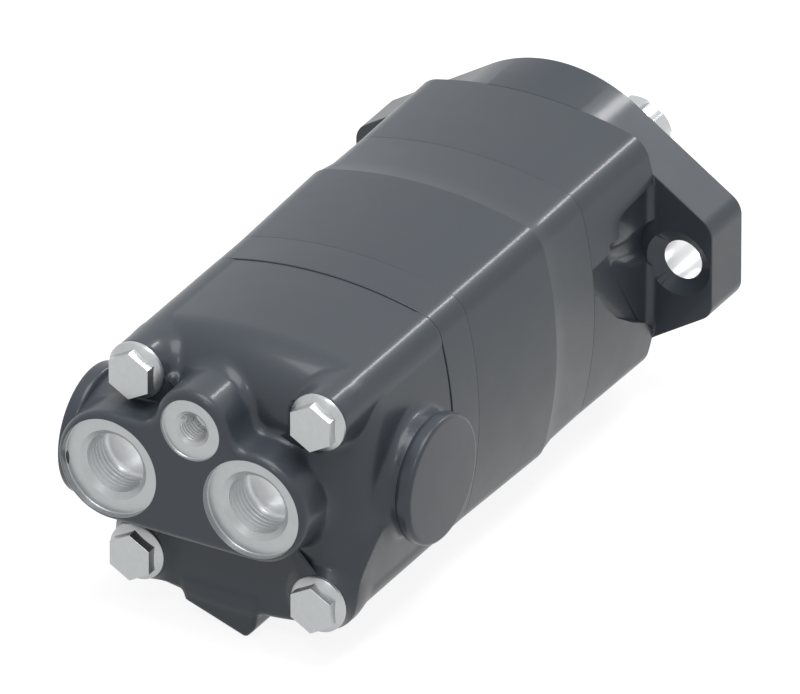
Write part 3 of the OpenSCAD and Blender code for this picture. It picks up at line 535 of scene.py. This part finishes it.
# The rear's roll-over: its share low on the sides, and the heights between which it grows there and on top
ROLL_LOW_SHARE = 0.55
ROLL_LOW_Z = (-30, -8)
ROLL_TOP_Z = (-5, 10)
BOLT_BOSS_EDGE = 0.6
BOLT_FILLET = 4.5
BOLT_FILLET_S = (S_REAR - 17, S_REAR - 5)
BOSS_DRAFT = 0.02
BOSS_EDGE = 3.0
BOSS_FOOT = 14.0
NECK_EDGE = 1.0
NECK_ROOT = 30.0
NECK_FILLET = 3.5
DISC_T = 5.0
DISC_RIM = 1.6
DISC_BACK_RIM = 1.2
DISC_SEAT = 9.0


def port_plane(x, z):
    """Outline of the port boss: a band round the two main ports, joined to the drain port's circle."""
    half = (RIGHT_PORT[0] - LEFT_PORT[0]) / 2
    mid = (RIGHT_PORT[0] + LEFT_PORT[0]) / 2
    band = np.hypot(np.maximum(np.abs(x - mid) - half, 0), z - LEFT_PORT[1]) - PORT_LOBE_R
    drain = np.hypot(x - DRAIN_PORT[0], z - DRAIN_PORT[1]) - DRAIN_LOBE_R
    return round_min(band, drain, PORT_LOBE_BLEND)


def rear_end(x, z, s):
    """The casting without its port boss: the section, closed by a flat rear that rolls over to the top and
    the sides by one big radius, less so low on the sides, and has a small edge elsewhere. At the bolts stand
    round bosses, with a fillet that grows as the roll-over falls away from them."""
    side, top = big_arcs(x, z)
    depth = np.maximum(s - S_REAR + ROLL_R, 0)
    low = ROLL_LOW_SHARE + (1 - ROLL_LOW_SHARE) * smooth_step(z, *ROLL_LOW_Z)
    high = smooth_step(z, *ROLL_TOP_Z)
    body = np.maximum(np.hypot(np.maximum(side + ROLL_R, 0) * low, depth),
                      np.hypot(np.maximum(top + ROLL_R, 0) * high, depth)) - ROLL_R
    body = np.maximum(body, round_max(section(x, z), s - S_REAR, REAR_EDGE))
    tie = np.hypot(np.abs(x) - TIE_HALF, np.abs(z) - TIE_HALF) - BOSS_R
    boss = round_max(tie, s - S_BOLT, BOLT_BOSS_EDGE)
    return round_min(body, boss, 0.02 + BOLT_FILLET * smooth_step(s, *BOLT_FILLET_S))


def polygon_field(x, z, corners):
    """Distance from a convex outline, given either way round, as the largest of its edges' distances."""
    p = np.array(corners)
    mid = p.mean(0)
    out = None
    for a, b in zip(p, np.roll(p, -1, 0)):
        n = np.array([b[1] - a[1], a[0] - b[0]])
        n = n / np.linalg.norm(n)
        if np.dot(mid - a, n) > 0:
            n = -n
        d = (x - a[0]) * n[0] + (z - a[1]) * n[1]
        out = d if out is None else round_max(out, d, LUG_CORNER)
    return out


def valve_housing_field(x, z, s):
    """The rear casting: body, port boss, necks of the side bosses, foot lug and a small cast lump."""
    edge = np.clip((S_VALVE + SEAM_EDGE - s) / SEAM_EDGE, 0, 1)
    body = rear_end(x, z, s) + SEAM_EDGE * edge * edge
    boss = round_max(port_plane(x, z) - BOSS_DRAFT * (S_PORT - s), s - S_PORT, BOSS_EDGE)
    boss = np.maximum(boss, S_REAR - BOSS_FOOT - s)
    out = round_min(body, boss, BOSS_EDGE)
    for side, station, _ in SIDE_BOSSES:
        neck = round_max(np.hypot(z, s - station) - NECK_R, side * x - NECK_REACH, NECK_EDGE)
        neck = np.maximum(neck, NECK_ROOT - side * x)
        out = round_min(out, neck, NECK_FILLET)
    lug = round_max(polygon_field(x, z, LUG), np.abs(s - S_REAR + LUG_L / 2) - LUG_L / 2, LUG_EDGE)
    out = round_min(out, lug, LUG_FILLET)
    lump = np.sqrt((x - LUMP[0]) ** 2 + (z - LUMP[1]) ** 2 + (s - S_REAR + LUMP_SUNK) ** 2) - LUMP_R
    return round_min(out, lump, LUMP_FILLET)


def port_cutters(name, centre, form, pitch):
    """The spotface with a small fillet at its foot and a sealing chamfer, and the bore below it: a thread,
    which is a fine zigzag, closed at the bottom."""
    spot, chamfer, core, spot_depth, depth = form
    seat = S_PORT - spot_depth
    s = seat - (chamfer - core) * CHAMFER_SLOPE
    face = [(spot, S_PORT + 2), (spot, S_PORT - 0.1), (spot, seat + 0.7), (spot - 0.06, seat + 0.35),
            (spot - 0.25, seat + 0.1), (spot - 0.6, seat), (chamfer, seat), (core, s), (CORE_R, s)]
    bore = [(core, s + 0.5), (core, s)]
    while s - pitch > S_PORT - depth + 0.5:
        bore += [(core + THREAD_DEPTH, s - pitch / 2), (core, s - pitch)]
        s -= pitch
    bore += [(core, S_PORT - depth), (CORE_R, S_PORT - depth - 0.4)]
    # The bore takes the machined iron with painted light, lighter than the spotface's.
    return [rings_piece(name + "_face", lathe_rings(face, centre, 129), [MACHINED], sharp=30),
            rings_piece(name + "_bore", lathe_rings(bore, centre, 129), [BORE_PAINTED_LIGHT], sharp=30)]


def side_boss_disc(side, station, radius):
    """Disc of a side boss: flat face, rounded rim and an undercut back, turned about the X axis."""
    top = SIDE_BOSS_REACH
    profile = round_profile([(CORE_R, top, 0), (radius, top, DISC_RIM), (radius, top - DISC_T, DISC_BACK_RIM),
                             (NECK_R - 0.6, top - 6.6, 0), (NECK_R - 1.5, top - DISC_SEAT, 0),
                             (CORE_R, top - DISC_SEAT, 0)], 8)
    turn = np.linspace(0, 2 * np.pi, 144, endpoint=False)
    p = np.array(profile)
    rings = np.stack([np.repeat(side * p[:, 1:], 144, 1), p[:, :1] * np.sin(turn),
                      station + p[:, :1] * np.cos(turn)], -1)
    return rings_piece("side_boss_disc", rings, [PAINT], sharp=50)


def stepped_bore(start, steps):
    """Profile of a bore from its mouth's station on, through steps of (radius, station of its end)."""
    profile = []
    for radius, end in steps:
        profile += [(radius, start), (radius, end)]
        start = end
    return profile


def tie_holes(name, radius, near, far, columns):
    """A cutter for each tie bolt's hole between two stations."""
    return [rings_piece(name, lathe_rings([(radius, near), (radius, far)], tie, columns), [MACHINED])
            for tie in TIES]


def make_valve_housing():
    """Skin of the rear casting with its ports, cavity and bolt holes cut in. Its rays start on the axis near
    the port boss, further ahead for the flat rear, and ever nearer to the front along the sides."""
    pole = (-8.0, 6.0)
    boss_start, rear_start = 204.0, 176.0
    on_face, down_boss, on_rear, along_side, shift = 60, 160, 220, 360, 60
    turns = np.linspace(0, 2 * np.pi, 480, endpoint=False)
    boss = reach_of(port_plane, turns, pole)
    wall = reach_of(section, turns, pole)
    wall = np.maximum(wall, boss + 1.0)
    guide = guide_line([(0.4 + 0 * boss, S_PORT), (boss, S_PORT), (boss, S_REAR), (wall, S_REAR),
                        (wall, S_VALVE)], [on_face, down_boss, on_rear, along_side])
    starts = np.concatenate([np.full(on_face + down_boss, boss_start),
                             np.linspace(boss_start, rear_start, shift),
                             np.full(on_rear - shift, rear_start),
                             np.linspace(rear_start, S_VALVE, along_side), [S_VALVE]])
    rings = fan_rings(valve_housing_field, pole, turns, guide, starts[:, None], 150)
    piece = rings_piece("valve_housing_casting", rings, [PAINT])
    cavity = stepped_bore(S_VALVE - 1, VALVE_CAVITY)
    cutters = port_cutters("left", LEFT_PORT, PORT_FORM, PORT_PITCH)
    cutters += port_cutters("right", RIGHT_PORT, PORT_FORM, PORT_PITCH)
    cutters += port_cutters("drain", DRAIN_PORT, DRAIN_FORM, DRAIN_PITCH)
    cutters.append(rings_piece("cavity", lathe_rings(cavity, (0, 0)), [MACHINED]))
    cutters += tie_holes("bolt_hole", TIE_HOLE_R, S_VALVE - 1, S_BOLT + 1, 48)
    return carve(piece, *cutters)


# Bearing housing with the mounting flange: its section grows by HOUSING_GROW at the flange and at the rear,
# and its rim is drafted where the sine of the angle is larger than DRAFTED_FROM
PILOT_EDGE = 0.6
FLANGE_EDGE = 0.4
FLANGE_FILLET = 0.5
HOUSING_GROW = (0.5, -0.15)
DRAFTED_FROM = 0.8

# Bolt pockets: the rim is a list of stations behind the flange and heights; the scallop is a cone beside the
# hole
POCKET_FLOOR = 42.2
POCKET_RIM = [(0.02, 27.5), (19.5, 25.9), (22.2, 24.9), (23.8, 22.5), (24.0, 19.2), (25.4, 17.9),
              (36.0, 16.2), (43.6, 15.8), (43.6, 7.6), (39.3, 5.8), (34.9, -0.7), (27.5, -8.2),
              (16.8, -15.3), (7.1, -20.5), (0.02, -27.3)]
POCKET_CORNER = 1.2
POCKET_FILLET = 3.0
SCALLOP_Z = 4.8
SCALLOP_R = 10.6
SCALLOP_GAP = 0.06
SCALLOP_X = 50.0
SCALLOP_TIP_R = 7.5
SCALLOP_L = 30.0
SCALLOP_RISE = 0.3


def flange_plane(x, z):
    """Outline of the flange: a round middle, and on each side the hull of it and of two corner circles."""
    x, z = np.abs(x), np.abs(z)
    end = FLANGE_W / 2 - FLANGE_CORNER_R
    reach = math.hypot(end, FLANGE_CORNER_Z)
    u = (end / reach, FLANGE_CORNER_Z / reach)
    along, beside = x * u[0] + z * u[1], np.abs(z * u[0] - x * u[1])
    b = (FLANGE_MID_R - FLANGE_CORNER_R) / reach
    a = math.sqrt(1 - b * b)
    k = along * a - beside * b
    hull = beside * a + along * b - FLANGE_MID_R
    hull = np.where(k < 0, np.hypot(beside, along) - FLANGE_MID_R, hull)
    hull = np.where(k > a * reach, np.hypot(beside, along - reach) - FLANGE_CORNER_R, hull)
    return np.minimum(hull, np.maximum(x - FLANGE_W / 2, z - FLANGE_CORNER_Z))


def bolt_pocket(side):
    """Pocket beside the flange, as a plate of its outline that reaches out from its floor. The outline's
    corners are cut back and rounded by a closed quadratic curve, and a quarter circle fills the floor's
    corner at the flange; behind it the outline's points move less and less, so that it never folds."""
    p = np.array(POCKET_RIM) + [FLANGE_T, 0]
    before, after = np.roll(p, 1, 0) - p, np.roll(p, -1, 0) - p
    cut = np.minimum(POCKET_CORNER, 0.45 * np.minimum(np.hypot(*before.T), np.hypot(*after.T)))[:, None]
    a = p + before / np.hypot(*before.T)[:, None] * cut
    b = p + after / np.hypot(*after.T)[:, None] * cut
    w = np.linspace(0, 1, 7)[None, :, None]
    line = ((1 - w) ** 2 * a[:, None] + 2 * w * (1 - w) * p[:, None] + w * w * b[:, None]).reshape(-1, 2)
    rows = [(POCKET_FLOOR + POCKET_FILLET * (1 - np.cos(q)), POCKET_FILLET * (1 - np.sin(q)))
            for q in np.linspace(0, np.pi / 2, 7)] + [(FLANGE_W / 2 + 6, 0.0)]
    fade = np.clip(1 - (line[:, 0] - FLANGE_T) / (2 * POCKET_FILLET), 0, 1)
    rings = np.stack([np.stack([np.full(len(line), side * x), line[:, 1], line[:, 0] + shift * fade], -1)
                      for x, shift in rows])
    return rings_piece("pocket", rings, [PAINT], sharp=30)


def bearing_housing_rings():
    """The front casting in polar rows from its rear face over the tapered body, the flange and the pilot. A
    row's radius at each angle is the reach of the body's section or of the flange's outline, and each edge or
    fillet is a quarter circle, which shrinks where the flange is hardly proud of the body. Above and below
    the axis the flange's rim is drafted, so that its rear edge meets the body."""
    turns = np.linspace(0, 2 * np.pi, 720, endpoint=False)
    front = reach_of(lambda x, z: section(x, z, HOUSING_GROW[0]), turns, (0, 0))
    rear = reach_of(lambda x, z: section(x, z, HOUSING_GROW[1]), turns, (0, 0))
    outer = reach_of(flange_plane, turns, (0, 0))
    rim = np.where(np.abs(np.sin(turns)) > DRAFTED_FROM, np.minimum(outer, front + 0.1), outer)
    proud = np.clip(rim - front, 0.03, 1)
    fillet, edge = FLANGE_FILLET * proud, FLANGE_EDGE * proud
    arc = np.linspace(0, np.pi / 2, 5)
    rows = [(CORE_R, S_WEAR)]
    rows += [(rear - FINE_EDGE * (1 - np.sin(q)), S_WEAR - FINE_EDGE * (1 - np.cos(q))) for q in arc]
    for share in np.linspace(0.05, 1, 12):
        rows.append((rear + (front - rear) * share, S_WEAR + (FLANGE_T + fillet - S_WEAR) * share))
    rows += [(front + fillet * (1 - np.cos(q)), FLANGE_T + fillet * (1 - np.sin(q))) for q in arc[1:]]
    rows += [(rim - edge * (1 - np.sin(q)), FLANGE_T - edge * (1 - np.cos(q))) for q in arc]
    rows += [(outer + (rim - outer) * share, FLANGE_T * share) for share in (0.8, 0.6, 0.4, 0.2)]
    rows += [(outer - FLANGE_EDGE * (1 - np.cos(q)), FLANGE_EDGE * (1 - np.sin(q))) for q in arc]
    rows += [(PILOT_R, 0.0)]
    rows += [(PILOT_R - PILOT_EDGE * (1 - np.cos(q)), -PILOT_H + PILOT_EDGE * (1 - np.sin(q))) for q in arc]
    rows += [(CORE_R, -PILOT_H)]
    one = np.ones(len(turns))
    return np.stack([np.stack([r * one * np.cos(turns), r * one * np.sin(turns), s * one], -1)
                     for r, s in rows])


def make_bearing_housing():
    """The front casting with its seal and bearing bores, mounting holes, dishes and bolt pockets."""
    piece = rings_piece("bearing_housing_casting", bearing_housing_rings(), [PAINT])
    bore = stepped_bore(-PILOT_H - 1, HOUSING_BORE)
    cutters = [rings_piece("bore", lathe_rings(bore, (0, 0)), [MACHINED])]
    for side in (-1, 1):
        cutters.append(bolt_pocket(side))
        hole = [(MOUNT_HOLE_R, -1), (MOUNT_HOLE_R, FLANGE_T + 6)]
        # The hole's bore takes the machined iron with painted light.
        cutters.append(rings_piece("hole", lathe_rings(hole, (side * MOUNT_HALF, 0)), [BORE_PAINTED_LIGHT]))
        rise = (MOUNT_DISH_R - MOUNT_HOLE_R) / MOUNT_DISH_H
        dish = [(MOUNT_HOLE_R - 0.5 * rise, FLANGE_T - MOUNT_DISH_H - 0.5),
                (MOUNT_DISH_R + 0.3 * rise, FLANGE_T + 0.3)]
        cutters.append(rings_piece("dish", lathe_rings(dish, (side * MOUNT_HALF, 0), 90), [PAINT]))
        scallop = [(SCALLOP_R, FLANGE_T + SCALLOP_GAP), (SCALLOP_TIP_R, FLANGE_T + SCALLOP_L)]
        rings = lathe_rings(scallop, (side * SCALLOP_X, SCALLOP_Z), 101)
        rings[..., 1] += SCALLOP_RISE * (rings[..., 2] - FLANGE_T)
        cutters.append(rings_piece("scallop", rings, [PAINT]))
    cutters += tie_holes("thread", TIE_CORE_R, S_WEAR - TIE_THREAD_L, S_WEAR + 1, 36)
    return carve(piece, *cutters)


# Middle sections of the stack
def section_shell(name, near, far, grows, bore_field, edges):
    """A plate of the body's section between two stations: the outline's growth runs through the given
    stations, its near and far edges are quarter circles, and the bore follows a plane outline."""
    turns = np.linspace(0, 2 * np.pi, 720, endpoint=False)
    stations = np.array([g[0] for g in grows], float)
    values = np.array([g[1] for g in grows], float)
    e, f = edges
    quarter = np.linspace(0, np.pi / 2, 5)
    between = [k for k in stations if near + 2 * e < k < far - 2 * f]
    s = np.concatenate([near + e - e * np.cos(quarter), between, far - f + f * np.sin(quarter)])
    pull = np.concatenate([-e + e * np.sin(quarter), np.zeros(len(s) - 10), -f + f * np.cos(quarter)])
    grow = np.interp(s, stations, values)
    r = np.stack([reach_of(lambda x, z: section(x, z, g), turns, (0, 0)) + d for g, d in zip(grow, pull)])
    outside = np.stack([r * np.cos(turns), r * np.sin(turns), np.repeat(s[:, None], len(turns), 1)], -1)
    hollow = reach_of(bore_field, turns, (0, 0), 60)
    inside = np.stack([np.stack([hollow * np.cos(turns), hollow * np.sin(turns), np.full(len(turns), k)], -1)
                       for k in (far, near)])
    piece = rings_piece(name, np.concatenate([outside, inside]), [PAINT], loop=True, sharp=40)
    return carve(piece, *tie_holes("hole", TIE_HOLE_R, near - 1, far + 1, 36))


def round_bore(radius):
    """Plane field of a round bore."""
    return lambda x, z: np.hypot(x, z) - radius


def geroler_bore(x, z):
    """Plane field of the geroler ring's bore: a circle with a round pocket for each roller."""
    out = np.hypot(x, z) - GEROLER_BORE_R
    for k in range(ROLLERS):
        a = math.radians(90 + 360 / ROLLERS * k)
        pocket = np.hypot(x - ROLLER_CIRCLE_R * math.cos(a), z - ROLLER_CIRCLE_R * math.sin(a))
        out = np.minimum(out, pocket - ROLLER_POCKET_R)
    return out


def make_middle():
    """Wear plate with its bevel, drafted geroler ring, and valve plate."""
    wear = section_shell("wear_plate_casting", S_WEAR, S_RING,
                         [(S_WEAR, -0.15), (S_RING - WEAR_BEVEL, 0.0), (S_RING - 0.6, RING_GROW - 0.3),
                          (S_RING, RING_GROW - 0.2)], round_bore(WEAR_BORE_R), (FINE_EDGE, FINE_EDGE))
    ring = section_shell("geroler_ring_body", S_RING, S_PLATE,
                         [(S_RING, RING_GROW), (S_RING + 12, RING_GROW - 0.3), (S_PLATE, PROUD)],
                         geroler_bore, (FINE_EDGE, FINE_EDGE))
    plate = section_shell("valve_plate_body", S_PLATE, S_VALVE, [(S_PLATE, PROUD), (S_VALVE, PROUD)],
                          round_bore(VALVE_PLATE_BORE_R), (FINE_EDGE, SEAM_EDGE))
    return {"wear_plate": wear, "geroler_ring": ring, "valve_plate": plate}


# Tie bolts
def tie_bolt_rings(centre):
    """A flange-head bolt in polar rings: at angle a the hexagon's radius is half the flats over the cosine of
    the angle from the nearest flat, and it stands on the flange's cone, so the flats end in curves."""
    n = 120
    a = np.linspace(0, 2 * np.pi, n, endpoint=False)
    off = (a + np.pi / 6) % (np.pi / 3) - np.pi / 6
    hexagon = TIE_AF / 2 / np.cos(off)
    cone = TIE_FLANGE_T + (TIE_FLANGE_R - TIE_FLANGE_EDGE - hexagon) * TIE_CONE_SLOPE
    one = np.ones(n)
    rows = [(CORE_R, TIE_HEAD_H), (hexagon - TIE_HEAD_EDGE, TIE_HEAD_H),
            (hexagon, TIE_HEAD_H - TIE_HEAD_EDGE), (hexagon, cone + 0.15), (hexagon + 0.2, cone),
            (TIE_FLANGE_R - TIE_FLANGE_EDGE, TIE_FLANGE_T),
            (TIE_FLANGE_R, TIE_FLANGE_T - 0.35), (TIE_FLANGE_R, 0.25), (TIE_FLANGE_R - 0.25, 0.0),
            (TIE_SHANK_R, 0.0), (TIE_SHANK_R, TIE_TIP_L - TIE_L), (TIE_TIP_R, -TIE_L), (CORE_R, -TIE_L)]
    return np.stack([np.stack([centre[0] + r * np.cos(a), centre[1] + r * np.sin(a), S_BOLT + h * one], -1)
                     for r, h in rows])


def make_tie_bolts():
    """The four tie bolts in one mesh."""
    bolt_set = [rings_piece("bolt", tie_bolt_rings(tie), [BOLT_PLATE], sharp=25) for tie in TIES]
    return join(bolt_set, "tie_bolt_set")


def join(pieces, name):
    """One object from several, all in the same place."""
    with bpy.context.temp_override(active_object=pieces[0], object=pieces[0], selected_objects=pieces,
                                   selected_editable_objects=pieces):
        bpy.ops.object.join()
    pieces[0].name = name
    pieces[0].data.name = name
    return pieces[0]


valve_housing = make_valve_housing()
bearing_housing = make_bearing_housing()
middle = make_middle()
bolts = make_tie_bolts()
stands_for(bearing_housing, "bearing_housing")
stands_for(bolts, "tie_bolts")
for node, piece in middle.items():
    stands_for(piece, node)
discs = [side_boss_disc(*boss) for boss in SIDE_BOSSES]
stands_for(valve_housing, "valve_housing")
for disc in discs:
    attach(disc, "housing")


# Finish of the CAD nodes that stay
def dress_cad_nodes():
    """Gives each CAD node the material of its slot."""
    for part in frame["record"]["subparts"]:
        mesh = frame["nodes"][part["node"]].data
        mesh.materials.clear()
        mesh.materials.append(SLOT_MATERIALS[part["material_slot"]])


dress_cad_nodes()


# Light, floor and camera
MIDDLE = Vector((0, -0.1, 0))
AMBIENT = 0.36
FLOOR_HALF = 30.0
FLOOR_DROP = 0.0002
FLOOR_GREY = 0.30
FLOOR_FILL = 0.1
FLOOR_GLOW = 0.88
CAMERA_TARGET = np.array([-0.00054, -0.10351, -0.0041])
CAMERA_BACK = np.array([0.4330, -0.75, 0.5])
CAMERA_DISTANCE = 9.857
CAMERA_LENS = 1400

# Lamps: direction from the object's middle, distance, size and power
LAMPS = {"top": ((0.1, -0.1, 1.0), 1.6, (1.0, 1.0), 17.5),
         "edge": ((0.172, 0.75, 0.638), 1.7, (0.14, 0.5), 6),
         "rear": ((0.14, -0.60, 0.65), 1.8, (0.25, 0.25), 2.5)}


def area_light(name, way, distance, size, power):
    """A soft rectangular lamp, from the object's middle so far along a direction, aimed back at it."""
    data = bpy.data.lights.new(name, "AREA")
    data.shape = "RECTANGLE"
    data.size, data.size_y = size
    data.energy = power
    lamp = bpy.data.objects.new(name, data)
    bpy.context.scene.collection.objects.link(lamp)
    way = Vector(way).normalized()
    lamp.location = MIDDLE + way * distance
    lamp.rotation_euler = (-way).to_track_quat("-Z", "Y").to_euler()


def seen_directly(tree, low, high):
    """The high value where the camera, a reflection or a clear body sees the surface, else the low one."""
    path = tree.nodes.new("ShaderNodeLightPath")
    value = path.outputs["Is Camera Ray"]
    for other in ("Is Glossy Ray", "Is Transmission Ray"):
        either = tree.nodes.new("ShaderNodeMath")
        either.operation = "MAXIMUM"
        tree.links.new(value, either.inputs[0])
        tree.links.new(path.outputs[other], either.inputs[1])
        value = either.outputs[0]
    return spread(tree, value, low, high)


def white_world():
    """White where the camera or a reflection sees it, and a plain fill light otherwise."""
    world = bpy.data.worlds.new("studio")
    bpy.context.scene.world = world
    world.use_nodes = True
    shade = world.node_tree.nodes["Background"]
    shade.inputs["Color"].default_value = (1, 1, 1, 1)
    world.node_tree.links.new(seen_directly(world.node_tree, AMBIENT, 1.0), shade.inputs["Strength"])


def floor(height):
    """A wide pale floor; its own glow makes it white to the camera, and it keeps a faint shadow."""
    corners = [(-FLOOR_HALF, -FLOOR_HALF, height), (FLOOR_HALF, -FLOOR_HALF, height),
               (FLOOR_HALF, FLOOR_HALF, height), (-FLOOR_HALF, FLOOR_HALF, height)]
    mesh = bpy.data.meshes.new("floor")
    mesh.from_pydata(corners, [], [(0, 1, 2, 3)])
    plane = bpy.data.objects.new("floor", mesh)
    bpy.context.scene.collection.objects.link(plane)
    m, tree, shader = new_material("pale_floor")
    shader.inputs["Base Color"].default_value = (FLOOR_GREY, FLOOR_GREY, FLOOR_GREY, 1)
    shader.inputs["Roughness"].default_value = 1.0
    shader.inputs["Specular IOR Level"].default_value = 0.0
    shader.inputs["Emission Color"].default_value = (1, 1, 1, 1)
    tree.links.new(seen_directly(tree, FLOOR_FILL, FLOOR_GLOW), shader.inputs["Emission Strength"])
    mesh.materials.append(m)


def camera():
    """The photograph's view, nearly parallel, from behind and above the ports."""
    data = bpy.data.cameras.new("camera")
    data.lens = CAMERA_LENS
    data.sensor_width = 36
    data.clip_end = 100
    cam = bpy.data.objects.new("camera", data)
    bpy.context.scene.collection.objects.link(cam)
    cam.location = CAMERA_TARGET + CAMERA_BACK * CAMERA_DISTANCE
    cam.rotation_euler = Vector(-CAMERA_BACK).to_track_quat("-Z", "Y").to_euler()
    bpy.context.scene.camera = cam


camera()
white_world()
for lamp_name, lamp_values in LAMPS.items():
    area_light(lamp_name, *lamp_values)
bpy.context.scene.view_settings.view_transform = "Standard"

view_low, view_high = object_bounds()
floor(view_low.z - FLOOR_DROP)
